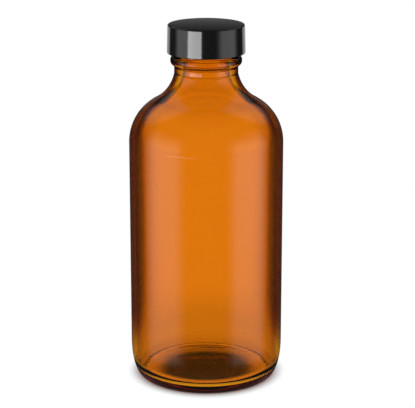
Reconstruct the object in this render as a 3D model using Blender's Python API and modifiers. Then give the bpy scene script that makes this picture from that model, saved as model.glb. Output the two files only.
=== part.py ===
"""Reagent bottle: amber glass with a round shoulder, a black screw cap and a cone liner.

Metres, +Z up. The origin is the middle of the foot, on the surface that the bottle stands on.
The bottle is one glass moulding. The cap screws on it by a right-hand thread and presses the
liner on the lip, while the liner's cone sits in the bore.
"""
import math

import bmesh
import bpy

# Glass body
BODY_DIAMETER = 0.0603
BODY_WALL = 0.0022
HEEL_HEIGHT = 0.0137
HEEL_INSET = 0.0041
SHOULDER_START = 0.0953
SHOULDER_RADIUS = 0.01885
THROAT_RADIUS = 0.0154
THROAT_KINK = math.radians(11.3)

# Foot and floor of the bottle
FOOT_RING_WIDTH = 0.0022
PUSH_UP_RISE = 0.0008
FLOOR_THICKNESS = 0.0020
INNER_HEEL_RADIUS = 0.0050

# Neck, transfer bead and lip
NECK_DIAMETER = 0.02486
NECK_STRAIGHT = 0.0025
GROOVE_DEPTH = 0.0008
GROOVE_HEIGHT = 0.0005
BORE_DIAMETER = 0.0180
INNER_THROAT_RADIUS = 0.0160
BEAD_DIAMETER = 0.0278
BEAD_HEIGHT = 0.0041
BEAD_ROUND = 0.0019
FINISH_HEIGHT = 0.0096
LIP_OUTER_ROUND = 0.0008
LIP_INNER_ROUND = 0.0005

# Thread: a 28-400 finish, six turns to the inch, right hand
THREAD_PITCH = 0.0254 / 6
THREAD_ROOT_DIAMETER = 0.0250
THREAD_DEPTH = 0.0012
THREAD_TURNS = 1.25
THREAD_BELOW_LIP = 0.0023
GLASS_RIDGE_RADIUS = 0.0011
CAP_RIDGE_RADIUS = 0.0010
CAP_RIDGE_SINK = 0.0001
RUN_OUT_ANGLE = math.radians(35)
RUN_OUT_SINK = 0.0006
RUN_OUT_SCALE = 0.35

# Cap
CAP_WALL = 0.00118
CAP_DRAFT = 0.00025
CAP_TOP_WALL = 0.0011
CAP_EDGE_ROUND = 0.0007
CAP_RIM_ROUND = 0.0003
CAP_INNER_ROUND = 0.0004
CAP_THREAD_INSET = 0.0015

# Liner
LINER_THICKNESS = 0.00085
CONE_DEPTH = 0.0048
CONE_TAPER = 0.0017
CONE_WALL = 0.0009
LINER_EDGE_ROUND = 0.0002

# Clearances between touching pieces
SEAT_GAP = 0.0003
THREAD_GAP = 0.0003
BORE_GAP = 0.0003
LINER_SIDE_GAP = 0.0004
CAP_BEAD_GAP = 0.0008

# Fineness of the turned and threaded shapes
TURN_STEPS = 48
ARC_TOLERANCE = 0.00004
THREAD_STEPS_PER_TURN = 32
RIDGE_BEVEL_RESOLUTION = 2
MERGE_DISTANCE = 0.00001
SHARP_ANGLE = math.radians(35)

# Radii and heights that follow from the sizes above
body_radius = BODY_DIAMETER / 2
neck_radius = NECK_DIAMETER / 2
bore_radius = BORE_DIAMETER / 2
bead_radius = BEAD_DIAMETER / 2
thread_root_radius = THREAD_ROOT_DIAMETER / 2
thread_crest_radius = thread_root_radius + THREAD_DEPTH

shoulder_centre_radius = body_radius - SHOULDER_RADIUS


def tangent_height(convex_radius, hollow_radius, hollow_centre_radius):
    """Height of the hollow arc's centre above the shoulder's, where the two arcs are tangent."""
    across = hollow_centre_radius - shoulder_centre_radius
    return math.sqrt((convex_radius + hollow_radius) ** 2 - across ** 2)


throat_centre_radius = neck_radius + THROAT_RADIUS * math.cos(THROAT_KINK)
throat_centre_height = SHOULDER_START + tangent_height(
    SHOULDER_RADIUS, THROAT_RADIUS, throat_centre_radius)
throat_top = throat_centre_height - THROAT_RADIUS * math.sin(THROAT_KINK)
neck_top = throat_top + NECK_STRAIGHT
bead_bottom = neck_top + GROOVE_HEIGHT
groove_radius = neck_radius - GROOVE_DEPTH
bead_top = bead_bottom + BEAD_HEIGHT
lip_top = bead_top + FINISH_HEIGHT

inner_shoulder_radius = SHOULDER_RADIUS - BODY_WALL
inner_throat_centre_radius = bore_radius + INNER_THROAT_RADIUS
inner_throat_height = SHOULDER_START + tangent_height(
    inner_shoulder_radius, INNER_THROAT_RADIUS, inner_throat_centre_radius)

glass_ridge_centre = thread_crest_radius - GLASS_RIDGE_RADIUS
glass_thread_top = lip_top - THREAD_BELOW_LIP
glass_thread_bottom = glass_thread_top - THREAD_TURNS * THREAD_PITCH

cap_root_radius = thread_crest_radius + THREAD_GAP
cap_radius = cap_root_radius + CAP_WALL
cap_rim = bead_top + CAP_BEAD_GAP
cap_underside = lip_top + SEAT_GAP + LINER_THICKNESS + SEAT_GAP
cap_top = cap_underside + CAP_TOP_WALL

cap_ridge_centre = cap_root_radius - CAP_RIDGE_SINK
ridge_reach = GLASS_RIDGE_RADIUS + CAP_RIDGE_RADIUS + THREAD_GAP
ridge_drop = math.sqrt(ridge_reach ** 2 - (cap_ridge_centre - glass_ridge_centre) ** 2)

liner_radius = cap_root_radius - LINER_SIDE_GAP
liner_underside = lip_top + SEAT_GAP
cone_top_radius = bore_radius - BORE_GAP


def arc(centre, radii, start, end):
    """Points of an arc in the (radius, height) plane, angles in degrees, both ends included."""
    step_angle = 2 * math.degrees(math.acos(1 - ARC_TOLERANCE / max(radii)))
    steps = math.ceil(abs(end - start) / step_angle)
    points = []
    for step in range(steps + 1):
        angle = math.radians(start + (end - start) * step / steps)
        points.append((centre[0] + radii[0] * math.cos(angle),
                       centre[1] + radii[1] * math.sin(angle)))
    return points


def meeting_angle(hollow_centre_radius, hollow_centre_height):
    """Angle on the shoulder's arc, in degrees, where the hollow arc takes over."""
    return math.degrees(math.atan2(hollow_centre_height - SHOULDER_START,
                                   hollow_centre_radius - shoulder_centre_radius))


def bottle_profile():
    """The glass section: up the inside from the floor, over the lip, down the outside."""
    push_up_edge = body_radius - HEEL_INSET - FOOT_RING_WIDTH
    push_up_radius = (push_up_edge ** 2 + PUSH_UP_RISE ** 2) / (2 * PUSH_UP_RISE)
    floor_height = PUSH_UP_RISE + FLOOR_THICKNESS
    inner_radius = body_radius - BODY_WALL
    inner_heel = (inner_radius - INNER_HEEL_RADIUS, floor_height + INNER_HEEL_RADIUS)
    inner_turn = meeting_angle(inner_throat_centre_radius, inner_throat_height)
    outer_turn = meeting_angle(throat_centre_radius, throat_centre_height)
    shoulder_centre = (shoulder_centre_radius, SHOULDER_START)

    points = [(0.0, floor_height)]
    points += arc(inner_heel, (INNER_HEEL_RADIUS,) * 2, -90, 0)
    points += arc(shoulder_centre, (inner_shoulder_radius,) * 2, 0, inner_turn)
    points += arc((inner_throat_centre_radius, inner_throat_height), (INNER_THROAT_RADIUS,) * 2,
                  180 + inner_turn, 180)[1:]
    points += arc((bore_radius + LIP_INNER_ROUND, lip_top - LIP_INNER_ROUND),
                  (LIP_INNER_ROUND,) * 2, 180, 90)
    points += arc((thread_root_radius - LIP_OUTER_ROUND, lip_top - LIP_OUTER_ROUND),
                  (LIP_OUTER_ROUND,) * 2, 90, 0)
    points.append((thread_root_radius, bead_top))
    points += arc((bead_radius - BEAD_ROUND, bead_top - BEAD_ROUND), (BEAD_ROUND,) * 2, 90, 0)
    points += arc((bead_radius - BEAD_ROUND, bead_bottom + BEAD_ROUND), (BEAD_ROUND,) * 2, 0, -90)
    points += [(groove_radius, bead_bottom), (groove_radius, neck_top), (neck_radius, neck_top)]
    points += arc((throat_centre_radius, throat_centre_height), (THROAT_RADIUS,) * 2,
                  180 + math.degrees(THROAT_KINK), 180 + outer_turn)
    points += arc(shoulder_centre, (SHOULDER_RADIUS,) * 2, outer_turn, 0)[1:]
    points += arc((body_radius - HEEL_INSET, HEEL_HEIGHT), (HEEL_INSET, HEEL_HEIGHT), 0, -90)
    points += arc((0.0, PUSH_UP_RISE - push_up_radius), (push_up_radius,) * 2,
                  math.degrees(math.acos(push_up_edge / push_up_radius)), 90)[:-1]
    points.append((0.0, PUSH_UP_RISE))
    return points


def cap_profile():
    """The cap's section above its rim: over the top, down the skirt and up the inside."""
    under = cap_underside - cap_rim
    top = cap_top - cap_rim
    top_radius = cap_radius - CAP_DRAFT
    points = [(0.0, top)]
    points += arc((top_radius - CAP_EDGE_ROUND, top - CAP_EDGE_ROUND), (CAP_EDGE_ROUND,) * 2, 90, 0)
    points += arc((cap_radius - CAP_RIM_ROUND, CAP_RIM_ROUND), (CAP_RIM_ROUND,) * 2, 0, -90)
    points += arc((cap_root_radius + CAP_RIM_ROUND, CAP_RIM_ROUND), (CAP_RIM_ROUND,) * 2, 270, 180)
    points += arc((cap_root_radius - CAP_INNER_ROUND, under - CAP_INNER_ROUND),
                  (CAP_INNER_ROUND,) * 2, 0, 90)
    points.append((0.0, under))
    return points


def liner_profile():
    """The liner's section about its underside: the flange, the cone and the cone's inside."""
    tip_radius = cone_top_radius - CONE_TAPER
    tip = -SEAT_GAP - CONE_DEPTH
    return [
        (0.0, LINER_THICKNESS),
        (liner_radius - LINER_EDGE_ROUND, LINER_THICKNESS),
        (liner_radius, LINER_THICKNESS - LINER_EDGE_ROUND),
        (liner_radius, LINER_EDGE_ROUND),
        (liner_radius - LINER_EDGE_ROUND, 0.0),
        (cone_top_radius, 0.0),
        (cone_top_radius, -SEAT_GAP),
        (tip_radius, tip),
        (tip_radius - CONE_WALL, tip),
        (cone_top_radius - CONE_WALL, 0.0),
        (0.0, 0.0),
    ]


def clear_scene():
    for old in list(bpy.data.objects):
        bpy.data.objects.remove(old, do_unlink=True)


def new_collection(name):
    collection = bpy.data.collections.new(name)
    bpy.context.scene.collection.children.link(collection)
    return collection


def new_material(name, colour, roughness, transmission=0.0, ior=1.5):
    material = bpy.data.materials.new(name)
    material.use_nodes = True
    shader = material.node_tree.nodes["Principled BSDF"]
    shader.inputs["Base Color"].default_value = (*colour, 1.0)
    shader.inputs["Roughness"].default_value = roughness
    shader.inputs["Metallic"].default_value = 0.0
    shader.inputs["IOR"].default_value = ior
    shader.inputs["Transmission Weight"].default_value = transmission
    return material


def evaluated_mesh(source):
    """The object's mesh with its modifiers, as a mesh of its own."""
    graph = bpy.context.evaluated_depsgraph_get()
    graph.update()
    return bpy.data.meshes.new_from_object(source.evaluated_get(graph))


def turned(name, profile, height, collection, material):
    """A profile of (radius, height) points turned once about the Z axis."""
    mesh = bpy.data.meshes.new(name)
    corners = [(radius, 0.0, z) for radius, z in profile]
    mesh.from_pydata(corners, [(i, i + 1) for i in range(len(corners) - 1)], [])
    piece = bpy.data.objects.new(name, mesh)
    piece.location.z = height
    collection.objects.link(piece)
    piece.data.materials.append(material)
    turn = piece.modifiers.new("turn", "SCREW")
    turn.steps = TURN_STEPS
    turn.render_steps = TURN_STEPS
    turn.use_merge_vertices = True
    turn.merge_threshold = MERGE_DISTANCE
    turn.use_smooth_shade = True
    return piece


def thread_ridge(name, centre_radius, ridge_radius, bottom, start_angle, turns, sink, collection):
    """A round ridge along the thread's helix, which runs out into its wall at both ends."""
    count = round(turns * THREAD_STEPS_PER_TURN)
    curve = bpy.data.curves.new(name, "CURVE")
    curve.dimensions = "3D"
    curve.bevel_depth = ridge_radius
    curve.bevel_resolution = RIDGE_BEVEL_RESOLUTION
    curve.use_fill_caps = True
    spline = curve.splines.new("POLY")
    spline.points.add(count)
    for index, point in enumerate(spline.points):
        along = 2 * math.pi * turns * index / count
        to_end = min(along, 2 * math.pi * turns - along)
        fullness = min(1.0, to_end / RUN_OUT_ANGLE)
        radius = centre_radius + sink * (1 - fullness)
        angle = start_angle + along
        point.co = (radius * math.cos(angle), radius * math.sin(angle),
                    bottom + THREAD_PITCH * along / (2 * math.pi), 1.0)
        point.radius = RUN_OUT_SCALE + (1 - RUN_OUT_SCALE) * fullness
    wire = bpy.data.objects.new(name + "_curve", curve)
    collection.objects.link(wire)
    ridge = bpy.data.objects.new(name, evaluated_mesh(wire))
    ridge.matrix_world = wire.matrix_world
    bpy.data.objects.remove(wire, do_unlink=True)
    collection.objects.link(ridge)
    shape = bmesh.new()
    shape.from_mesh(ridge.data)
    bmesh.ops.remove_doubles(shape, verts=shape.verts, dist=MERGE_DISTANCE)
    shape.to_mesh(ridge.data)
    shape.free()
    ridge.hide_render = True
    ridge.display_type = "WIRE"
    return ridge


def join_ridge(piece, ridge):
    """Unites a thread ridge with the piece that it belongs to."""
    union = piece.modifiers.new("thread", "BOOLEAN")
    union.operation = "UNION"
    union.solver = "EXACT"
    union.object = ridge


def finish_shading(piece):
    """Makes the modelled shape the piece's mesh, smooth except at its real edges."""
    mesh = evaluated_mesh(piece)
    piece.modifiers.clear()
    piece.data = mesh
    mesh.shade_smooth()
    mesh.set_sharp_from_angle(angle=SHARP_ANGLE)


def build():
    clear_scene()
    parts = new_collection("reagent_bottle")
    tools = new_collection("thread_ridges")

    amber = new_material("amber_glass", (0.55, 0.17, 0.01), 0.03, transmission=1.0, ior=1.52)
    black = new_material("black_phenolic", (0.012, 0.012, 0.013), 0.28)
    white = new_material("white_polyethylene", (0.80, 0.80, 0.77), 0.45)

    bottle = turned("bottle", bottle_profile(), 0.0, parts, amber)
    glass_ridge = thread_ridge("glass_thread", glass_ridge_centre, GLASS_RIDGE_RADIUS,
                               glass_thread_bottom, 0.0, THREAD_TURNS, -RUN_OUT_SINK, tools)
    join_ridge(bottle, glass_ridge)

    # The cap's ridge follows the same helix, ridge_drop lower, so it bears from below.
    cap_thread_bottom = cap_rim + CAP_THREAD_INSET
    turns_up = (cap_thread_bottom + ridge_drop - glass_thread_bottom) / THREAD_PITCH
    cap = turned("cap", cap_profile(), cap_rim, parts, black)
    cap_ridge = thread_ridge("cap_thread", cap_ridge_centre, CAP_RIDGE_RADIUS, cap_thread_bottom,
                             2 * math.pi * turns_up, THREAD_TURNS, RUN_OUT_SINK, tools)
    join_ridge(cap, cap_ridge)

    liner = turned("liner", liner_profile(), liner_underside, parts, white)

    for piece in (bottle, cap, liner):
        finish_shading(piece)

    # The cap and the liner hang on one empty, on the axis that they lift and turn about.
    closure = bpy.data.objects.new("closure_axis", None)
    closure.location.z = lip_top
    closure.empty_display_size = body_radius
    parts.objects.link(closure)
    bpy.context.view_layer.update()
    for piece in (cap, liner):
        piece.parent = closure
        piece.matrix_parent_inverse = closure.matrix_world.inverted()


build()
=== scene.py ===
"""Looks of the amber reagent bottle: camera, floor and light, then the glass, cap and liner."""
import math

import bpy
import numpy as np
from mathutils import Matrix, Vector


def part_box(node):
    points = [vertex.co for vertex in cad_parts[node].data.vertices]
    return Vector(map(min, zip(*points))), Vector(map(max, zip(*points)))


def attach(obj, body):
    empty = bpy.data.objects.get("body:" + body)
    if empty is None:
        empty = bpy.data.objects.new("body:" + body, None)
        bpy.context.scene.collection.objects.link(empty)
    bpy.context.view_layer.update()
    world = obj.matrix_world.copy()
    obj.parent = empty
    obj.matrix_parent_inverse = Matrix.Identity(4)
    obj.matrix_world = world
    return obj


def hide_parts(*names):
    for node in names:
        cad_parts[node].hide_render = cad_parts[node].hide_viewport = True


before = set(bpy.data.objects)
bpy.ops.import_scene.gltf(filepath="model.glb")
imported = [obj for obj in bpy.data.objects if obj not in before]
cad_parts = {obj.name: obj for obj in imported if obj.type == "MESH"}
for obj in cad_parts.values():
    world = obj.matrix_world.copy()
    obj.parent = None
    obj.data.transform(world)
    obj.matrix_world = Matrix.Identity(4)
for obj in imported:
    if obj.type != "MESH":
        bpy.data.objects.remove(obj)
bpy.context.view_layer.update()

# ---------------------------------------------------------------------------
# Camera. It looks slightly down on the bottle from well in front, so the cap shows a thin
# ellipse of its top and the body's sides stay close to parallel.
# ---------------------------------------------------------------------------
IMAGE_WIDTH = 415
CAMERA_DISTANCE = 0.630
CAMERA_HEIGHT = 0.248
CAMERA_TILT = math.radians(15.81)
CAMERA_SIDE = 0.0005
SENSOR_WIDTH = 36.0
FOCAL_PIXELS = 1655

camera_data = bpy.data.cameras.new("camera")
camera_data.sensor_width = SENSOR_WIDTH
camera_data.lens = SENSOR_WIDTH * FOCAL_PIXELS / IMAGE_WIDTH
camera_data.clip_start = 0.01
camera_data.clip_end = 50.0
camera = bpy.data.objects.new("camera", camera_data)
camera.location = (CAMERA_SIDE, -CAMERA_DISTANCE, CAMERA_HEIGHT)
camera.rotation_euler = (math.pi / 2 - CAMERA_TILT, 0.0, 0.0)
bpy.context.scene.collection.objects.link(camera)
bpy.context.scene.camera = camera
bpy.context.scene.view_settings.view_transform = "Standard"


# ---------------------------------------------------------------------------
# Room. A white studio that shows white behind and through the glass, with a dark part high behind
# it for rays that come through glass. Polished surfaces mirror bright walls at the sides, a low
# slot of light at the left front, and dark openings behind and in front, where the camera stands.
# ---------------------------------------------------------------------------
def calc(tree, operation, *values, clamp=False):
    """One Math node in a node tree, fed by sockets or plain numbers; returns its output."""
    node = tree.nodes.new("ShaderNodeMath")
    node.operation = operation
    node.use_clamp = clamp
    for socket, value in zip(node.inputs, values):
        if isinstance(value, (int, float)):
            socket.default_value = value
        else:
            tree.links.new(value, socket)
    return node.outputs[0]


def ramp_between(tree, value, low, high, low_result=0.0, high_result=1.0):
    """A smooth step of value from low to high, between two results."""
    node = tree.nodes.new("ShaderNodeMapRange")
    node.interpolation_type = "SMOOTHSTEP"
    tree.links.new(value, node.inputs["Value"])
    node.inputs["From Min"].default_value = low
    node.inputs["From Max"].default_value = high
    node.inputs["To Min"].default_value = low_result
    node.inputs["To Max"].default_value = high_result
    return node.outputs["Result"]


def from_axis(tree, x, y):
    """Level distance from the Z axis, or the level length of a direction."""
    return calc(tree, "SQRT", calc(tree, "ADD", calc(tree, "MULTIPLY", x, x), calc(tree, "MULTIPLY", y, y)))


# Sines are heights above or below the horizon, and cosines are turns away from the front, or for
# the high panels away from their own aim. The window has a middle and a half width for each, its
# turn in radians.
WHITE = (1.0, 1.0, 1.0, 1.0)
AMBIENT_LIGHT = 0.62
SIDE_WALL_LIGHT = 1.15
OPENING_LIGHT = 0.03
FRONT_OPENING_COSINES = (0.62, 0.90)
BACK_OPENING_COSINES = (-0.30, 0.12)
WALL_TOP_SINES = (-0.05, 0.62)
WALL_FOOT_SINES = (-0.50, -0.25)
HIGH_PANEL_AIM = (0.52, 0.53, 0.67)
HIGH_PANEL_COSINES = (0.87, 0.98)
HIGH_PANEL_LIGHT = 0.4
BACK_STRIP_SINES = (0.0, 0.05, 0.07, 0.26)
BACK_STRIP_COSINES = (-0.97, -0.92)
BACK_STRIP_LIGHT = 0.15
WINDOW_TURN = (-0.68, 0.42)
WINDOW_SINE = (-0.1975, 0.0075)
WINDOW_LIGHT = 2.6
FLOOR_SINES = (-0.66, -0.44)
FLOOR_LIGHT = 0.10
BACKDROP_TOP_SINES = (0.80, 0.97)
ABOVE_BACKDROP_LIGHT = 0.25
SHEET_TOP_SINES = (0.16, 0.28)
SHEET_TOP_COSINES = (-0.85, -0.50)
ABOVE_SHEET_DARK = 0.98
LEAST_ACROSS = 0.001

world = bpy.data.worlds.new("studio")
bpy.context.scene.world = world
world.use_nodes = True
sky = world.node_tree
sky.nodes.clear()
direction = sky.nodes.new("ShaderNodeSeparateXYZ")
sky.links.new(sky.nodes.new("ShaderNodeTexCoord").outputs["Generated"], direction.inputs[0])
to_side, to_rear, rising = direction.outputs
across = from_axis(sky, to_side, to_rear)
to_front = calc(sky, "DIVIDE", calc(sky, "MULTIPLY", to_rear, -1.0),
                calc(sky, "MAXIMUM", across, LEAST_ACROSS))
off_front = ramp_between(sky, to_front, *FRONT_OPENING_COSINES, 1.0, 0.0)
off_back = ramp_between(sky, to_front, *BACK_OPENING_COSINES)
below_top = ramp_between(sky, rising, *WALL_TOP_SINES, 1.0, 0.0)
above_foot = ramp_between(sky, rising, *WALL_FOOT_SINES, 0.0, SIDE_WALL_LIGHT)
walls = calc(sky, "MULTIPLY", calc(sky, "MULTIPLY", off_front, off_back),
             calc(sky, "MULTIPLY", below_top, above_foot))
panel_aim = calc(sky, "MULTIPLY", calc(sky, "ABSOLUTE", to_side), HIGH_PANEL_AIM[0])
panel_aim = calc(sky, "MULTIPLY_ADD", to_rear, HIGH_PANEL_AIM[1], panel_aim)
panel_aim = calc(sky, "MULTIPLY_ADD", rising, HIGH_PANEL_AIM[2], panel_aim)
panels = ramp_between(sky, panel_aim, *HIGH_PANEL_COSINES, 0.0, HIGH_PANEL_LIGHT)
strip_foot = ramp_between(sky, rising, *BACK_STRIP_SINES[:2])
strip_top = ramp_between(sky, rising, *BACK_STRIP_SINES[2:], BACK_STRIP_LIGHT, 0.0)
back_strip = calc(sky, "MULTIPLY", calc(sky, "MULTIPLY", strip_foot, strip_top),
                  ramp_between(sky, to_front, *BACK_STRIP_COSINES, 1.0, 0.0))
front_turn = calc(sky, "ARCTAN2", to_side, calc(sky, "MULTIPLY", to_rear, -1.0))
window = calc(sky, "MULTIPLY", calc(sky, "COMPARE", front_turn, *WINDOW_TURN),
              calc(sky, "COMPARE", rising, *WINDOW_SINE))
white_floor = ramp_between(sky, rising, *FLOOR_SINES, FLOOR_LIGHT, OPENING_LIGHT)
mirrored = calc(sky, "ADD", calc(sky, "ADD", walls, panels), calc(sky, "ADD", back_strip, calc(
    sky, "MULTIPLY_ADD", window, WINDOW_LIGHT, white_floor)))
rays = sky.nodes.new("ShaderNodeLightPath")
backdrop = ramp_between(sky, rising, *BACKDROP_TOP_SINES, 1.0, ABOVE_BACKDROP_LIGHT)
above_sheet = calc(sky, "MULTIPLY", ramp_between(sky, rising, *SHEET_TOP_SINES),
                   ramp_between(sky, to_front, *SHEET_TOP_COSINES, ABOVE_SHEET_DARK, 0.0))
backdrop = calc(sky, "MULTIPLY", backdrop, calc(sky, "SUBTRACT", 1.0, above_sheet))
seen = calc(sky, "MAXIMUM", rays.outputs["Is Camera Ray"],
            calc(sky, "MULTIPLY", rays.outputs["Is Transmission Ray"], backdrop))
glossy = calc(sky, "MULTIPLY", rays.outputs["Is Glossy Ray"], mirrored)
ambient = calc(sky, "MULTIPLY", rays.outputs["Is Diffuse Ray"], AMBIENT_LIGHT)
background = sky.nodes.new("ShaderNodeBackground")
background.inputs["Color"].default_value = WHITE
sky.links.new(calc(sky, "ADD", calc(sky, "ADD", seen, glossy), ambient), background.inputs["Strength"])
sky_out = sky.nodes.new("ShaderNodeOutputWorld")
sky.links.new(background.outputs[0], sky_out.inputs["Surface"])


def soft_lamp(name, place, aim, width, height, radiance, mirrored_too=False):
    """A rectangular studio lamp of an even radiance, aimed at a point."""
    data = bpy.data.lights.new(name, "AREA")
    data.shape = "RECTANGLE"
    data.size = width
    data.size_y = height
    data.energy = radiance * math.pi * width * height
    lamp = bpy.data.objects.new(name, data)
    lamp.location = place
    lamp.rotation_euler = (Vector(aim) - Vector(place)).to_track_quat("-Z", "Y").to_euler()
    lamp.visible_camera = False
    lamp.visible_transmission = False
    lamp.visible_glossy = mirrored_too
    bpy.context.scene.collection.objects.link(lamp)
    return lamp


# Each lamp's name, place, width and radiance.
LAMPS = (("lamp_left", (-1.1, -0.7, 0.9), 0.8, 0.62),
         ("lamp_right", (1.1, -0.5, 0.9), 0.8, 0.50),
         ("lamp_top", (0.0, 0.2, 1.3), 1.0, 0.45))
LAMP_AIM = (0.0, 0.0, 0.07)
for lamp_name, place, width, radiance in LAMPS:
    soft_lamp(lamp_name, place, LAMP_AIM, width, width, radiance)

# Upright strips for the cap alone: one at the left front draws its tall highlight, and one behind
# each side brightens its edges. Each has its turn from the front in degrees, width and radiance.
STRIP_DISTANCE, STRIP_HEIGHT, STRIP_LENGTH = 0.60, 0.022, 0.30
STRIP_AIM = (0.0, 0.0, 0.128)
CAP_STRIPS = (("strip_front", -34.0, 0.45, 6.5),
              ("strip_back_right", 150.0, 0.36, 0.8),
              ("strip_back_left", -150.0, 0.36, 0.8))
cap_strips = []
for strip_name, degrees, width, radiance in CAP_STRIPS:
    turn = math.radians(degrees)
    place = (STRIP_DISTANCE * math.sin(turn), -STRIP_DISTANCE * math.cos(turn), STRIP_HEIGHT)
    cap_strips.append(soft_lamp(strip_name, place, STRIP_AIM, width, STRIP_LENGTH, radiance,
                                mirrored_too=True))


# ---------------------------------------------------------------------------
# Floor. A matt white sheet that keeps the soft shadow close round the foot and runs out to the
# plain white of the room. To rays that come through the glass it shows painted shadow and light:
# near black under the foot, a bright ring round that, dimmer near the bottle and a little dimmer
# far off.
# ---------------------------------------------------------------------------
FLOOR_HALF = 4.0
FLOOR_DROP = 0.00004
FLOOR_COLOUR = (0.84, 0.85, 0.87, 1.0)
SHADOW_REACH = (0.0258, 0.0325)
# Painted shadow: seen through the glass, the floor under the foot is painted near black, fading out towards
# the foot ring.
FOOT_PAINTED_SHADOW_REACH = (0.0145, 0.0230)
FOOT_PAINTED_SHADOW_COLOUR = (0.008, 0.0005, 0.0, 1.0)
# Painted light: a bright ring just inside and round the foot, seen through the glass, as if light through
# the glass gathered there.
PAINTED_RING_GLOW_REACH = (0.024, 0.028)
# Painted shade: seen through the glass, the floor glows less close round the bottle. Far off it dims a
# little.
NEAR_PAINTED_SHADE_REACH = (0.028, 0.12)
NEAR_PAINTED_SHADE = 0.72
FAR_GLOW_REACH = (0.34, 0.44)
FAR_GLOW = 0.97


def mixed(tree, share, first, second, blend="MIX"):
    """Two colours mixed by a share, each of them a socket or plain numbers."""
    node = tree.nodes.new("ShaderNodeMix")
    node.data_type = "RGBA"
    node.blend_type = blend
    for place, value in zip((0, 6, 7), (share, first, second)):
        if isinstance(value, bpy.types.NodeSocket):
            tree.links.new(value, node.inputs[place])
        else:
            node.inputs[place].default_value = value
    return node.outputs[2]


floor_mesh = bpy.data.meshes.new("floor")
floor_mesh.from_pydata([(x * FLOOR_HALF, y * FLOOR_HALF, -FLOOR_DROP)
                        for x, y in ((-1, -1), (1, -1), (1, 1), (-1, 1))], [], [(0, 1, 2, 3)])
floor = bpy.data.objects.new("floor", floor_mesh)
bpy.context.scene.collection.objects.link(floor)
floor_material = bpy.data.materials.new("floor_sheet")
floor_material.use_nodes = True
sheet = floor_material.node_tree
sheet.nodes.clear()
spot = sheet.nodes.new("ShaderNodeVectorMath")
spot.operation = "LENGTH"
sheet.links.new(sheet.nodes.new("ShaderNodeTexCoord").outputs["Object"], spot.inputs[0])
floor_rays = sheet.nodes.new("ShaderNodeLightPath")
clear_floor = ramp_between(sheet, spot.outputs["Value"], *SHADOW_REACH)
# Painted shade near the bottle, seen through the glass.
painted_near_shade = ramp_between(sheet, spot.outputs["Value"], *NEAR_PAINTED_SHADE_REACH, NEAR_PAINTED_SHADE, 1.0)
lit_far = ramp_between(sheet, spot.outputs["Value"], *FAR_GLOW_REACH, 1.0, FAR_GLOW)
# Painted shadow under the foot, seen through the glass.
painted_foot_shadow = ramp_between(sheet, spot.outputs["Value"], *FOOT_PAINTED_SHADOW_REACH, 1.0, 0.0)
# Painted bright ring round the foot, seen through the glass.
painted_ring_glow = ramp_between(sheet, spot.outputs["Value"], *PAINTED_RING_GLOW_REACH, 1.0, 0.0)
through_glass = calc(sheet, "MULTIPLY", calc(sheet, "MAXIMUM", painted_near_shade, painted_ring_glow), lit_far)
through = floor_rays.outputs["Is Transmission Ray"]
floor_seen = calc(sheet, "MULTIPLY_ADD", floor_rays.outputs["Is Camera Ray"], clear_floor, through)
floor_glow = calc(sheet, "SUBTRACT", 1.0, calc(sheet, "MULTIPLY", through, calc(
    sheet, "SUBTRACT", 1.0, through_glass)))
matt = sheet.nodes.new("ShaderNodeBsdfDiffuse")
matt.inputs["Color"].default_value = FLOOR_COLOUR
white = sheet.nodes.new("ShaderNodeEmission")
# Painted shadow: rays through the glass see the emission near black under the foot.
sheet.links.new(mixed(sheet, calc(sheet, "MULTIPLY", through, painted_foot_shadow), WHITE, FOOT_PAINTED_SHADOW_COLOUR),
                white.inputs["Color"])
sheet.links.new(floor_glow, white.inputs["Strength"])
floor_mix = sheet.nodes.new("ShaderNodeMixShader")
sheet.links.new(floor_seen, floor_mix.inputs[0])
sheet.links.new(matt.outputs[0], floor_mix.inputs[1])
sheet.links.new(white.outputs[0], floor_mix.inputs[2])
sheet_out = sheet.nodes.new("ShaderNodeOutputMaterial")
sheet.links.new(floor_mix.outputs[0], sheet_out.inputs["Surface"])
floor_mesh.materials.append(floor_material)
floor.visible_glossy = False

# ---------------------------------------------------------------------------
# Bottle. One piece of amber soda-lime glass, blown in a mould of two halves. Here it is turned
# from its section, and the thread of the neck is raised on it. It replaces the CAD solid.
# ---------------------------------------------------------------------------
_, bottle_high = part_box("bottle")
BODY_RADIUS = bottle_high.x
LIP_TOP = bottle_high.z
BODY_WALL = 0.0022
HEEL_HEIGHT = 0.0137
HEEL_INSET = 0.0041
SHOULDER_START = 0.0953
SHOULDER_RADIUS = 0.01885
THROAT_RADIUS = 0.0154
THROAT_KINK = 11.3
FOOT_RING_WIDTH = 0.0022
PUSH_UP_RISE = 0.0008
FLOOR_THICKNESS = 0.0020
INNER_HEEL_RADIUS = 0.0050
NECK_RADIUS = 0.01243
NECK_STRAIGHT = 0.0025
GROOVE_DEPTH = 0.0008
GROOVE_HEIGHT = 0.0005
BORE_RADIUS = 0.0090
INNER_THROAT_RADIUS = 0.0160
BEAD_RADIUS = 0.0139
BEAD_ROUND = 0.0019
BEAD_BELOW_LIP = 0.0096
THREAD_ROOT = 0.0125
THREAD_DEPTH = 0.0012
THREAD_PITCH = 0.0254 / 6
THREAD_TURNS = 1.25
THREAD_BELOW_LIP = 0.0023
THREAD_HALF_WIDTH = 0.0013
RUN_OUT_TURNS = 0.09
THREAD_BOTTOM = LIP_TOP - THREAD_BELOW_LIP - THREAD_TURNS * THREAD_PITCH
LIP_OUTER_ROUND = 0.0008
LIP_INNER_ROUND = 0.0005
SMALL_ROUND = 0.00018
PARTING_LINE = 0.0002
TURN_STEPS = 216
BEAD_TOP = LIP_TOP - BEAD_BELOW_LIP

shoulder_centre = BODY_RADIUS - SHOULDER_RADIUS


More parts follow.
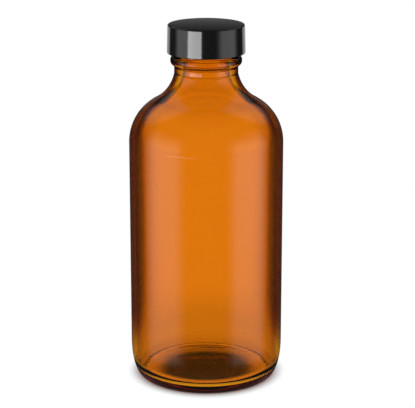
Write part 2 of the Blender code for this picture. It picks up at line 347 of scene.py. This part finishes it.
def arc(centre, radii, start, end, steps):
    """Points of an arc in the (radius, height) plane, in so many steps, angles in degrees."""
    turn = np.radians(np.linspace(start, end, steps + 1))
    return [(centre[0] + radii[0] * math.cos(a), centre[1] + radii[1] * math.sin(a)) for a in turn]


def straight(start, end, steps):
    """Points that divide a line into so many steps, its ends left out."""
    return [tuple(s + (e - s) * i / steps for s, e in zip(start, end)) for i in range(1, steps)]


def hollow_arc(convex, hollow, centre_radius):
    """Height of a hollow arc's centre and the angle where it meets the shoulder's arc."""
    across = centre_radius - shoulder_centre
    rise = math.sqrt((convex + hollow) ** 2 - across ** 2)
    return SHOULDER_START + rise, math.degrees(math.atan2(rise, across))


def bottle_section():
    """The glass section: up the inside from the floor, over the lip and down the outside."""
    centre = (shoulder_centre, SHOULDER_START)
    floor_height = PUSH_UP_RISE + FLOOR_THICKNESS
    inner_radius = BODY_RADIUS - BODY_WALL
    inner_shoulder = SHOULDER_RADIUS - BODY_WALL
    inner_throat = BORE_RADIUS + INNER_THROAT_RADIUS
    inner_height, inner_turn = hollow_arc(inner_shoulder, INNER_THROAT_RADIUS, inner_throat)
    throat = NECK_RADIUS + THROAT_RADIUS * math.cos(math.radians(THROAT_KINK))
    throat_height, outer_turn = hollow_arc(SHOULDER_RADIUS, THROAT_RADIUS, throat)
    neck_foot = throat_height - THROAT_RADIUS * math.sin(math.radians(THROAT_KINK))
    neck_top = neck_foot + NECK_STRAIGHT
    bead_bottom = neck_top + GROOVE_HEIGHT
    groove = NECK_RADIUS - GROOVE_DEPTH
    ring = BODY_RADIUS - HEEL_INSET - FOOT_RING_WIDTH
    heel_centre = (inner_radius - INNER_HEEL_RADIUS, floor_height + INNER_HEEL_RADIUS)

    points = [(0.0, floor_height)]
    points += straight((0.0, floor_height), (heel_centre[0], floor_height), 6)
    points += arc(heel_centre, (INNER_HEEL_RADIUS,) * 2, -90, 0, 24)
    points += straight(points[-1], (inner_radius, SHOULDER_START), 16)
    points += arc(centre, (inner_shoulder,) * 2, 0, inner_turn, 28)
    points += arc((inner_throat, inner_height), (INNER_THROAT_RADIUS,) * 2,
                  180 + inner_turn, 180, 26)[1:]
    points += straight(points[-1], (BORE_RADIUS, LIP_TOP - LIP_INNER_ROUND), 8)
    points += arc((BORE_RADIUS + LIP_INNER_ROUND, LIP_TOP - LIP_INNER_ROUND),
                  (LIP_INNER_ROUND,) * 2, 180, 90, 6)
    points += arc((THREAD_ROOT - LIP_OUTER_ROUND, LIP_TOP - LIP_OUTER_ROUND),
                  (LIP_OUTER_ROUND,) * 2, 90, 0, 8)
    points += straight(points[-1], (THREAD_ROOT, BEAD_TOP + SMALL_ROUND), 80)
    points += arc((THREAD_ROOT + SMALL_ROUND, BEAD_TOP + SMALL_ROUND), (SMALL_ROUND,) * 2, 180, 270, 3)
    points += arc((BEAD_RADIUS - BEAD_ROUND, BEAD_TOP - BEAD_ROUND), (BEAD_ROUND,) * 2, 80, 0, 14)
    points += arc((BEAD_RADIUS - BEAD_ROUND, bead_bottom + BEAD_ROUND), (BEAD_ROUND,) * 2, 0, -90, 14)
    points += [(groove + SMALL_ROUND, bead_bottom)]
    points += arc((groove + SMALL_ROUND, neck_top + SMALL_ROUND), (SMALL_ROUND,) * 2, 180, 270, 3)
    points += arc((NECK_RADIUS - SMALL_ROUND, neck_top - SMALL_ROUND), (SMALL_ROUND,) * 2, 90, 0, 4)
    points += straight(points[-1], (NECK_RADIUS, neck_foot + PARTING_LINE), 5)
    points += arc((NECK_RADIUS, neck_foot), (PARTING_LINE / 2, PARTING_LINE), 90, 270, 6)
    points += arc((throat, throat_height), (THROAT_RADIUS,) * 2,
                  180 + THROAT_KINK, 180 + outer_turn, 26)[1:]
    points += arc(centre, (SHOULDER_RADIUS,) * 2, outer_turn, 0, 32)[1:]
    points += straight(points[-1], (BODY_RADIUS, HEEL_HEIGHT), 16)
    points += arc((BODY_RADIUS - HEEL_INSET, HEEL_HEIGHT), (HEEL_INSET, HEEL_HEIGHT), 0, -90, 40)
    points += [(ring, 0.0)]
    dome_radius = (ring ** 2 + PUSH_UP_RISE ** 2) / (2 * PUSH_UP_RISE)
    dome_edge = math.degrees(math.acos(ring / dome_radius))
    points += arc((0.0, PUSH_UP_RISE - dome_radius), (dome_radius,) * 2, dome_edge, 90, 20)[1:]
    return points


def new_tree(name, inputs):
    """An empty geometry node group with one geometry in and out and the named inputs."""
    tree = bpy.data.node_groups.new(name, "GeometryNodeTree")
    tree.interface.new_socket("Geometry", in_out="INPUT", socket_type="NodeSocketGeometry")
    for label, kind in inputs:
        tree.interface.new_socket(label, in_out="INPUT", socket_type="NodeSocket" + kind)
    tree.interface.new_socket("Geometry", in_out="OUTPUT", socket_type="NodeSocketGeometry")
    return tree, tree.nodes.new("NodeGroupInput").outputs, tree.nodes.new("NodeGroupOutput").inputs


def add(tree, kind, **links):
    """One node of a tree, its inputs linked or set by name."""
    node = tree.nodes.new(kind)
    for label, value in links.items():
        socket = node.inputs[label.replace("_", " ")]
        if isinstance(value, bpy.types.NodeSocket):
            tree.links.new(value, socket)
        else:
            socket.default_value = value
    return node


MERGE_DISTANCE = 1e-6
ROOT_TOLERANCE = 2e-6
LEAST_RADIUS = 1e-6
CREST_POWER = 1.5


def turning_tree():
    """Turns the profile that it is given about Z, as a lathe or a mould does."""
    tree, given, result = new_tree("turned_form", [("Steps", "Int"), ("Material", "Material")])
    rows = add(tree, "GeometryNodeAttributeDomainSize", Geometry=given["Geometry"]).outputs["Point Count"]
    columns = calc(tree, "ADD", given["Steps"], 1.0)
    grid = add(tree, "GeometryNodeMeshGrid", Vertices_X=columns, Vertices_Y=rows)
    index = tree.nodes.new("GeometryNodeInputIndex").outputs[0]
    row = calc(tree, "MODULO", index, rows)
    turn = calc(tree, "MULTIPLY", calc(tree, "DIVIDE", calc(tree, "FLOOR", calc(
        tree, "DIVIDE", index, rows)), given["Steps"]), 2 * math.pi)
    sample = tree.nodes.new("GeometryNodeSampleIndex")
    sample.data_type = "FLOAT_VECTOR"
    tree.links.new(given["Geometry"], sample.inputs["Geometry"])
    tree.links.new(tree.nodes.new("GeometryNodeInputPosition").outputs[0], sample.inputs["Value"])
    tree.links.new(row, sample.inputs["Index"])
    rotate = tree.nodes.new("ShaderNodeVectorRotate")
    rotate.rotation_type = "Z_AXIS"
    tree.links.new(sample.outputs["Value"], rotate.inputs["Vector"])
    tree.links.new(turn, rotate.inputs["Angle"])
    placed = add(tree, "GeometryNodeSetPosition", Geometry=grid.outputs["Mesh"],
                 Position=rotate.outputs[0]).outputs[0]
    closed = add(tree, "GeometryNodeMergeByDistance", Geometry=placed,
                 Distance=MERGE_DISTANCE).outputs[0]
    outward = add(tree, "GeometryNodeFlipFaces", Mesh=closed).outputs[0]
    real = add(tree, "GeometryNodeRealizeInstances", Geometry=outward).outputs[0]
    finished = add(tree, "GeometryNodeSetMaterial", Geometry=real, Material=given["Material"]).outputs[0]
    tree.links.new(finished, result["Geometry"])
    return tree


def thread_tree():
    """Raises a helical ridge, faded at both ends, on the cylinder of the given root radius."""
    tree, given, result = new_tree("helical_ridge", [
        ("Pitch", "Float"), ("Bottom", "Float"), ("Start Turn", "Float"), ("Turns", "Float"),
        ("Half Width", "Float"), ("Depth", "Float"), ("Root Radius", "Float"), ("Run Out", "Float"),
        ("Material", "Material")])
    position = tree.nodes.new("GeometryNodeInputPosition").outputs[0]
    part = add(tree, "ShaderNodeSeparateXYZ", Vector=position).outputs
    radius = from_axis(tree, part[0], part[1])
    on_root = calc(tree, "COMPARE", radius, given["Root Radius"], ROOT_TOLERANCE)
    angle = calc(tree, "SUBTRACT", calc(tree, "DIVIDE", calc(tree, "ARCTAN2", part[1], part[0]),
                                        2 * math.pi), given["Start Turn"])
    height = calc(tree, "DIVIDE", calc(tree, "SUBTRACT", part[2], given["Bottom"]), given["Pitch"])
    turns = calc(tree, "ADD", angle, calc(tree, "ROUND", calc(tree, "SUBTRACT", height, angle)))
    off = calc(tree, "MULTIPLY", calc(tree, "SUBTRACT", height, turns), given["Pitch"])
    off_share = calc(tree, "MINIMUM", calc(tree, "DIVIDE", calc(tree, "ABSOLUTE", off),
                                           given["Half Width"]), 1.0)
    crest = calc(tree, "COSINE", calc(tree, "MULTIPLY", off_share, math.pi / 2))
    crest = calc(tree, "POWER", crest, CREST_POWER)
    to_end = calc(tree, "MINIMUM", turns, calc(tree, "SUBTRACT", given["Turns"], turns))
    fade = calc(tree, "DIVIDE", to_end, given["Run Out"], clamp=True)
    fade = calc(tree, "SINE", calc(tree, "MULTIPLY", fade, math.pi / 2))
    rise = calc(tree, "MULTIPLY", calc(tree, "MULTIPLY", crest, fade), given["Depth"])
    push = calc(tree, "DIVIDE", calc(tree, "MULTIPLY", rise, on_root),
                calc(tree, "MAXIMUM", radius, LEAST_RADIUS))
    offset = add(tree, "ShaderNodeCombineXYZ", X=calc(tree, "MULTIPLY", part[0], push),
                 Y=calc(tree, "MULTIPLY", part[1], push)).outputs[0]
    raised = add(tree, "GeometryNodeSetPosition", Geometry=given["Geometry"], Offset=offset).outputs[0]
    real = add(tree, "GeometryNodeRealizeInstances", Geometry=raised).outputs[0]
    finished = add(tree, "GeometryNodeSetMaterial", Geometry=real, Material=given["Material"]).outputs[0]
    tree.links.new(finished, result["Geometry"])
    return tree


TURNED_FORM = turning_tree()
HELICAL_RIDGE = thread_tree()


def shaped(name, section, material, ridge=None):
    """A smooth mesh turned from a section of (radius, height), with a thread if one is given."""
    mesh = bpy.data.meshes.new(name + "_section")
    mesh.from_pydata([(r, 0.0, z) for r, z in section], [(i, i + 1) for i in range(len(section) - 1)], [])
    source = bpy.data.objects.new(name + "_section", mesh)
    bpy.context.scene.collection.objects.link(source)
    jobs = [(TURNED_FORM, {"Steps": TURN_STEPS, "Material": material})]
    if ridge:
        jobs.append((HELICAL_RIDGE, {**ridge, "Material": material}))
    for tree, values in jobs:
        step = source.modifiers.new(tree.name, "NODES")
        step.node_group = tree
        for socket in tree.interface.items_tree:
            if socket.in_out == "INPUT" and socket.name in values:
                step[socket.identifier] = values[socket.name]
    graph = bpy.context.evaluated_depsgraph_get()
    made = bpy.data.meshes.new_from_object(source.evaluated_get(graph))
    bpy.data.objects.remove(source, do_unlink=True)
    made.name = name
    made.shade_smooth()
    piece = bpy.data.objects.new(name, made)
    bpy.context.scene.collection.objects.link(piece)
    return piece


def principled(name, colour, roughness, **values):
    """A material with one Principled shader; returns it with its tree and shader."""
    material = bpy.data.materials.new(name)
    material.use_nodes = True
    tree = material.node_tree
    shader = tree.nodes["Principled BSDF"]
    shader.inputs["Base Color"].default_value = colour
    shader.inputs["Roughness"].default_value = roughness
    for label, value in values.items():
        shader.inputs[label.replace("_", " ")].default_value = value
    return material, tree, shader


def shader_group(name, inputs, outputs):
    """An empty shader node group with the named inputs and their first values, and outputs."""
    tree = bpy.data.node_groups.new(name, "ShaderNodeTree")
    for label, kind, value in inputs:
        socket = tree.interface.new_socket(label, in_out="INPUT", socket_type="NodeSocket" + kind)
        if value is not None:
            socket.default_value = value
    for label, kind in outputs:
        tree.interface.new_socket(label, in_out="OUTPUT", socket_type="NodeSocket" + kind)
    return tree, tree.nodes.new("NodeGroupInput").outputs, tree.nodes.new("NodeGroupOutput").inputs


def at_size(tree, place, size, stretch):
    """The place on the piece divided by a size, and drawn out along Z where stretch is under 1."""
    drawn = tree.nodes.new("ShaderNodeVectorMath")
    drawn.operation = "MULTIPLY"
    tree.links.new(place, drawn.inputs[0])
    tree.links.new(add(tree, "ShaderNodeCombineXYZ", X=1.0, Y=1.0, Z=stretch).outputs[0], drawn.inputs[1])
    sized = tree.nodes.new("ShaderNodeVectorMath")
    sized.operation = "SCALE"
    tree.links.new(drawn.outputs[0], sized.inputs[0])
    tree.links.new(calc(tree, "DIVIDE", 1.0, size), sized.inputs["Scale"])
    return sized.outputs[0]


SWELL_DETAIL = 1.0
GRAIN_FINENESS, GRAIN_DETAIL = 9.0, 2.0
RUB_DETAIL, RUB_BREAKUP, RUB_SHARPNESS = 6.0, 0.7, 6.0


def ripple_group():
    """Unevenness that a mould leaves: a broad swell and a finer one, as one height in metres."""
    tree, given, result = shader_group("moulded_ripple", [
        ("Place", "Vector", None), ("Size", "Float", 0.01), ("Stretch", "Float", 1.0),
        ("Swell", "Float", 0.00001), ("Grain", "Float", 0.000002)], [("Height", "Float")])
    place = at_size(tree, given["Place"], given["Size"], given["Stretch"])
    swell = add(tree, "ShaderNodeTexNoise", Vector=place, Scale=1.0, Detail=SWELL_DETAIL).outputs[0]
    grain = add(tree, "ShaderNodeTexNoise", Vector=place, Scale=GRAIN_FINENESS,
                Detail=GRAIN_DETAIL).outputs[0]
    tree.links.new(calc(tree, "ADD", calc(tree, "MULTIPLY", swell, given["Swell"]),
                        calc(tree, "MULTIPLY", grain, given["Grain"])), result["Height"])
    return tree


def rub_group():
    """Rubbed spots of a handled surface: a sparse soft mask, denser where the cover is higher."""
    tree, given, result = shader_group("rubbed_spots", [
        ("Place", "Vector", None), ("Size", "Float", 0.004), ("Stretch", "Float", 1.0),
        ("Cover", "Float", 0.4)], [("Mask", "Float")])
    place = at_size(tree, given["Place"], given["Size"], given["Stretch"])
    cloud = add(tree, "ShaderNodeTexNoise", Vector=place, Scale=1.0, Detail=RUB_DETAIL,
                Roughness=RUB_BREAKUP).outputs[0]
    tree.links.new(calc(tree, "MULTIPLY", calc(tree, "SUBTRACT", cloud, calc(
        tree, "SUBTRACT", 1.0, given["Cover"])), RUB_SHARPNESS, clamp=True), result["Mask"])
    return tree


MOULDED_RIPPLE = ripple_group()
RUBBED_SPOTS = rub_group()


def effect(tree, group, **values):
    """A shared effect placed in a material, fed with the place on the piece and its own values."""
    node = tree.nodes.new("ShaderNodeGroup")
    node.node_tree = group
    tree.links.new(tree.nodes.new("ShaderNodeTexCoord").outputs["Object"], node.inputs["Place"])
    for label, value in values.items():
        node.inputs[label].default_value = value
    return node.outputs[0]


def relief(tree, shader, height):
    """Feeds a height in metres to the shader's normal."""
    bump = add(tree, "ShaderNodeBump", Height=height, Strength=1.0, Distance=1.0)
    tree.links.new(bump.outputs[0], shader.inputs["Normal"])


# The colour is shared between the depth of the glass and a tint at its surfaces, so that thick
# glass at the heel doesn't turn too dark. The edge tint is painted shade, which partly stands for
# the longer path through the glass there: it darkens the upright wall at its sides, less at the heel.
GLASS_IOR = 1.52
GLASS_ABSORPTION = (0.930, 0.845, 0.05, 1.0)
GLASS_DENSITY = 620.0
WALL_TINT = (0.965, 0.540, 0.20, 1.0)
EDGE_PAINTED_SHADE = (0.020, 0.003, 0.0005, 1.0)
EDGE_FACING = (0.20, 0.65)
EDGE_SIDEWAYS = (0.47, 0.69, 0.0, 0.8)
EDGE_APPROACH = (0.20, 0.32, 0.0, 0.2)
UPRIGHT_WALL = (0.10, 0.35)
UPRIGHT_BODY = (0.85, 0.99)
HEEL_CLEAR_HEIGHTS = (0.012, 0.030)
HEEL_EDGE_SHARE = 0.1

amber, amber_tree, amber_shader = principled("amber_glass", WHITE, 0.0, IOR=GLASS_IOR,
                                             Transmission_Weight=1.0)
absorption = add(amber_tree, "ShaderNodeVolumeAbsorption", Color=GLASS_ABSORPTION, Density=GLASS_DENSITY)
amber_tree.links.new(absorption.outputs[0], amber_tree.nodes["Material Output"].inputs["Volume"])
facing = add(amber_tree, "ShaderNodeLayerWeight", Blend=0.5).outputs["Facing"]
glass_place = add(amber_tree, "ShaderNodeSeparateXYZ",
                  Vector=amber_tree.nodes.new("ShaderNodeTexCoord").outputs["Object"]).outputs
above_heel = ramp_between(amber_tree, glass_place[2], *HEEL_CLEAR_HEIGHTS, HEEL_EDGE_SHARE, 1.0)
normal = add(amber_tree, "ShaderNodeSeparateXYZ",
             Vector=amber_tree.nodes.new("ShaderNodeNewGeometry").outputs["Normal"]).outputs
level_normal = add(amber_tree, "ShaderNodeCombineXYZ", X=normal[0], Y=normal[1]).outputs[0]
level = amber_tree.nodes.new("ShaderNodeVectorMath")
level.operation = "NORMALIZE"
amber_tree.links.new(level_normal, level.inputs[0])
upright = from_axis(amber_tree, normal[0], normal[1])
sideways = add(amber_tree, "ShaderNodeLayerWeight", Blend=0.5, Normal=level.outputs[0]).outputs["Facing"]
# Painted edge shade: the glass colour is darkened towards its sides.
edge = calc(amber_tree, "MULTIPLY", ramp_between(amber_tree, facing, *EDGE_FACING), above_heel)
approach = calc(amber_tree, "MULTIPLY", ramp_between(amber_tree, sideways, *EDGE_APPROACH),
                ramp_between(amber_tree, upright, *UPRIGHT_BODY))
edge = calc(amber_tree, "MULTIPLY", edge, calc(amber_tree, "ADD", ramp_between(
    amber_tree, sideways, *EDGE_SIDEWAYS), approach))
edge = calc(amber_tree, "MULTIPLY", edge, ramp_between(amber_tree, upright, *UPRIGHT_WALL))
painted_edge_shade = add(amber_tree, "ShaderNodeGamma", Color=EDGE_PAINTED_SHADE, Gamma=edge).outputs[0]
amber_tree.links.new(mixed(amber_tree, 1.0, painted_edge_shade, WALL_TINT, "MULTIPLY"),
                     amber_shader.inputs["Base Color"])

# The blown walls swell a little along the bottle, the two halves of the mould leave a fine seam
# at each side, the ring it stands on is stippled, and faint smears roughen it here and there.
SEAM_WIDTH, SEAM_HEIGHT = 0.00025, 0.00003
STIPPLE_SIZE, STIPPLE_TOP, STIPPLE_HEIGHT = 0.0011, (0.0002, 0.0006), 0.00012
STIPPLE_RADII = (0.0236, 0.0242)
SMEAR_ROUGHNESS = 0.02
swells = effect(amber_tree, MOULDED_RIPPLE, Size=0.011, Stretch=0.35, Swell=0.00006, Grain=0.000002)
seam = ramp_between(amber_tree, calc(amber_tree, "ABSOLUTE", glass_place[1]),
                    0.0, SEAM_WIDTH, SEAM_HEIGHT, 0.0)
stipple = add(amber_tree, "ShaderNodeTexVoronoi", Scale=1.0 / STIPPLE_SIZE, Vector=amber_tree.nodes.new(
    "ShaderNodeTexCoord").outputs["Object"]).outputs["Distance"]
stipple = calc(amber_tree, "MULTIPLY", stipple, ramp_between(
    amber_tree, glass_place[2], *STIPPLE_TOP, STIPPLE_HEIGHT, 0.0))
stipple = calc(amber_tree, "MULTIPLY", stipple, ramp_between(
    amber_tree, from_axis(amber_tree, glass_place[0], glass_place[1]), *STIPPLE_RADII))
relief(amber_tree, amber_shader, calc(amber_tree, "ADD", calc(amber_tree, "ADD", swells, seam), stipple))
smears = effect(amber_tree, RUBBED_SPOTS, Size=0.02, Stretch=0.6, Cover=0.42)
amber_tree.links.new(calc(amber_tree, "MULTIPLY", smears, SMEAR_ROUGHNESS), amber_shader.inputs["Roughness"])

bottle = shaped("amber_bottle", bottle_section(), amber, {
    "Pitch": THREAD_PITCH, "Bottom": THREAD_BOTTOM,
    "Start Turn": 0.0, "Turns": THREAD_TURNS, "Half Width": THREAD_HALF_WIDTH,
    "Depth": THREAD_DEPTH, "Root Radius": THREAD_ROOT, "Run Out": RUN_OUT_TURNS})
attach(bottle, "bottle")
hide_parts("bottle")

# ---------------------------------------------------------------------------
# Cap. One moulding of black phenolic with a smooth, slightly drafted skirt, a barely crowned
# top and the matching thread inside, by which it is screwed onto the neck.
# ---------------------------------------------------------------------------
cap_low, cap_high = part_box("cap")
CAP_RADIUS = cap_high.x
CAP_RIM = cap_low.z
CAP_TOP = cap_high.z
CAP_DRAFT = 0.00025
CAP_TOP_WALL = 0.0011
CAP_CROWN = 0.00025
CAP_EDGE_ROUND = 0.0006
CAP_RIM_ROUND = 0.0003
CROWN_SHARES = (0.06, 0.97)
CAP_ROOT = 0.0140
CAP_RIDGE_DEPTH = -0.0011
CAP_RIDGE_HALF_WIDTH = 0.0012
CAP_THREAD_INSET = 0.0015
RIDGE_DROP = 0.00202


def cap_section():
    """The cap's section: up the inside, and from the rim up the skirt to the crowned top."""
    under = CAP_TOP - CAP_TOP_WALL
    top_radius = CAP_RADIUS - CAP_DRAFT
    edge_top = CAP_TOP - CAP_CROWN
    points = [(0.0, CAP_TOP)]
    points += [((top_radius - CAP_EDGE_ROUND) * s, CAP_TOP - CAP_CROWN * s * s)
               for s in np.linspace(*CROWN_SHARES, 16)]
    points += arc((top_radius - CAP_EDGE_ROUND, edge_top - CAP_EDGE_ROUND), (CAP_EDGE_ROUND,) * 2, 88, 0, 10)
    points += straight(points[-1], (CAP_RADIUS, CAP_RIM + CAP_RIM_ROUND), 12)
    points += arc((CAP_RADIUS - CAP_RIM_ROUND, CAP_RIM + CAP_RIM_ROUND), (CAP_RIM_ROUND,) * 2, 0, -90, 6)
    points += arc((CAP_ROOT + CAP_RIM_ROUND, CAP_RIM + CAP_RIM_ROUND), (CAP_RIM_ROUND,) * 2, 270, 180, 6)
    points += straight(points[-1], (CAP_ROOT, under - CAP_RIM_ROUND), 90)
    points += arc((CAP_ROOT - CAP_RIM_ROUND, under - CAP_RIM_ROUND), (CAP_RIM_ROUND,) * 2, 0, 90, 4)
    points += straight(points[-1], (0.0, under), 6)
    points += [(0.0, under)]
    return points


PHENOLIC_COLOUR = (0.007, 0.007, 0.0075, 1.0)
RUBBED_COLOUR = (0.015, 0.015, 0.016, 1.0)
PHENOLIC_ROUGHNESS, RUBBED_ROUGHNESS = 0.11, 0.24
PHENOLIC_IOR = 1.6
phenolic, phenolic_tree, phenolic_shader = principled("black_phenolic", PHENOLIC_COLOUR,
                                                      PHENOLIC_ROUGHNESS, IOR=PHENOLIC_IOR)
rubbed = effect(phenolic_tree, RUBBED_SPOTS, Size=0.0035, Stretch=0.5, Cover=0.45)
phenolic_tree.links.new(mixed(phenolic_tree, rubbed, PHENOLIC_COLOUR, RUBBED_COLOUR),
                        phenolic_shader.inputs["Base Color"])
phenolic_tree.links.new(ramp_between(phenolic_tree, rubbed, 0.0, 1.0, PHENOLIC_ROUGHNESS, RUBBED_ROUGHNESS),
                        phenolic_shader.inputs["Roughness"])
relief(phenolic_tree, phenolic_shader, effect(phenolic_tree, MOULDED_RIPPLE, Size=0.006, Stretch=0.4,
                                              Swell=0.000015, Grain=0.0000015))

cap = shaped("black_cap", cap_section(), phenolic, {
    "Pitch": THREAD_PITCH, "Bottom": CAP_RIM + CAP_THREAD_INSET,
    "Start Turn": (CAP_RIM + CAP_THREAD_INSET + RIDGE_DROP - THREAD_BOTTOM) / THREAD_PITCH,
    "Turns": THREAD_TURNS, "Half Width": CAP_RIDGE_HALF_WIDTH, "Depth": CAP_RIDGE_DEPTH,
    "Root Radius": CAP_ROOT, "Run Out": RUN_OUT_TURNS})
strip_reach = bpy.data.collections.new("strip_reach")
strip_reach.objects.link(cap)
for strip in cap_strips:
    strip.light_linking.receiver_collection = strip_reach
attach(cap, "cap")
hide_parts("cap")

# ---------------------------------------------------------------------------
# Liner. One moulding of white polyethylene, pressed into the cap's top: a disc that lies on the
# lip, with a hollow cone that wedges in the bore.
# ---------------------------------------------------------------------------
liner_low, liner_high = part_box("liner")
LINER_RADIUS = liner_high.x
LINER_TOP = liner_high.z
LINER_TIP = liner_low.z
LINER_THICKNESS = 0.00085
LINER_ROUND = 0.0002
CONE_TOP = 0.0087
CONE_TAPER = 0.0017
CONE_WALL = 0.0009


def liner_section():
    """The liner's section: over the flange, down the cone and up its hollow."""
    under = LINER_TOP - LINER_THICKNESS
    tip = CONE_TOP - CONE_TAPER
    points = [(0.0, LINER_TOP)]
    points += straight(points[-1], (LINER_RADIUS - LINER_ROUND, LINER_TOP), 6)
    points += arc((LINER_RADIUS - LINER_ROUND, LINER_TOP - LINER_ROUND), (LINER_ROUND,) * 2, 90, 0, 4)
    points += arc((LINER_RADIUS - LINER_ROUND, under + LINER_ROUND), (LINER_ROUND,) * 2, 0, -90, 4)
    points += arc((CONE_TOP + LINER_ROUND, under - LINER_ROUND), (LINER_ROUND,) * 2, 90, 180, 4)
    points += straight(points[-1], (tip, LINER_TIP + LINER_ROUND), 10)
    points += arc((tip - LINER_ROUND, LINER_TIP + LINER_ROUND), (LINER_ROUND,) * 2, 0, -90, 4)
    points += arc((tip - CONE_WALL + LINER_ROUND, LINER_TIP + LINER_ROUND), (LINER_ROUND,) * 2, 270, 180, 4)
    points += straight(points[-1], (CONE_TOP - CONE_WALL, under), 10)
    points += [(CONE_TOP - CONE_WALL, under)]
    points += straight(points[-1], (0.0, under), 6)
    points += [(0.0, under)]
    return points


POLYETHYLENE_COLOUR = (0.80, 0.80, 0.77, 1.0)
HANDLED_COLOUR = (0.72, 0.71, 0.66, 1.0)
CLEAN_ROUGHNESS, HANDLED_ROUGHNESS = 0.38, 0.55
POLYETHYLENE_IOR = 1.5
polyethylene, poly_tree, poly_shader = principled("white_polyethylene", POLYETHYLENE_COLOUR,
                                                  CLEAN_ROUGHNESS, IOR=POLYETHYLENE_IOR)
handled = effect(poly_tree, RUBBED_SPOTS, Size=0.003, Stretch=1.0, Cover=0.5)
poly_tree.links.new(mixed(poly_tree, handled, POLYETHYLENE_COLOUR, HANDLED_COLOUR),
                    poly_shader.inputs["Base Color"])
poly_tree.links.new(ramp_between(poly_tree, handled, 0.0, 1.0, CLEAN_ROUGHNESS, HANDLED_ROUGHNESS),
                    poly_shader.inputs["Roughness"])
relief(poly_tree, poly_shader, effect(poly_tree, MOULDED_RIPPLE, Size=0.003, Stretch=1.0,
                                      Swell=0.000012, Grain=0.000004))
liner = shaped("cone_liner", liner_section(), polyethylene)
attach(liner, "liner")
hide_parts("liner")

# ---------------------------------------------------------------------------
# The scene is brought up to date at the end.
# ---------------------------------------------------------------------------
bpy.context.view_layer.update()
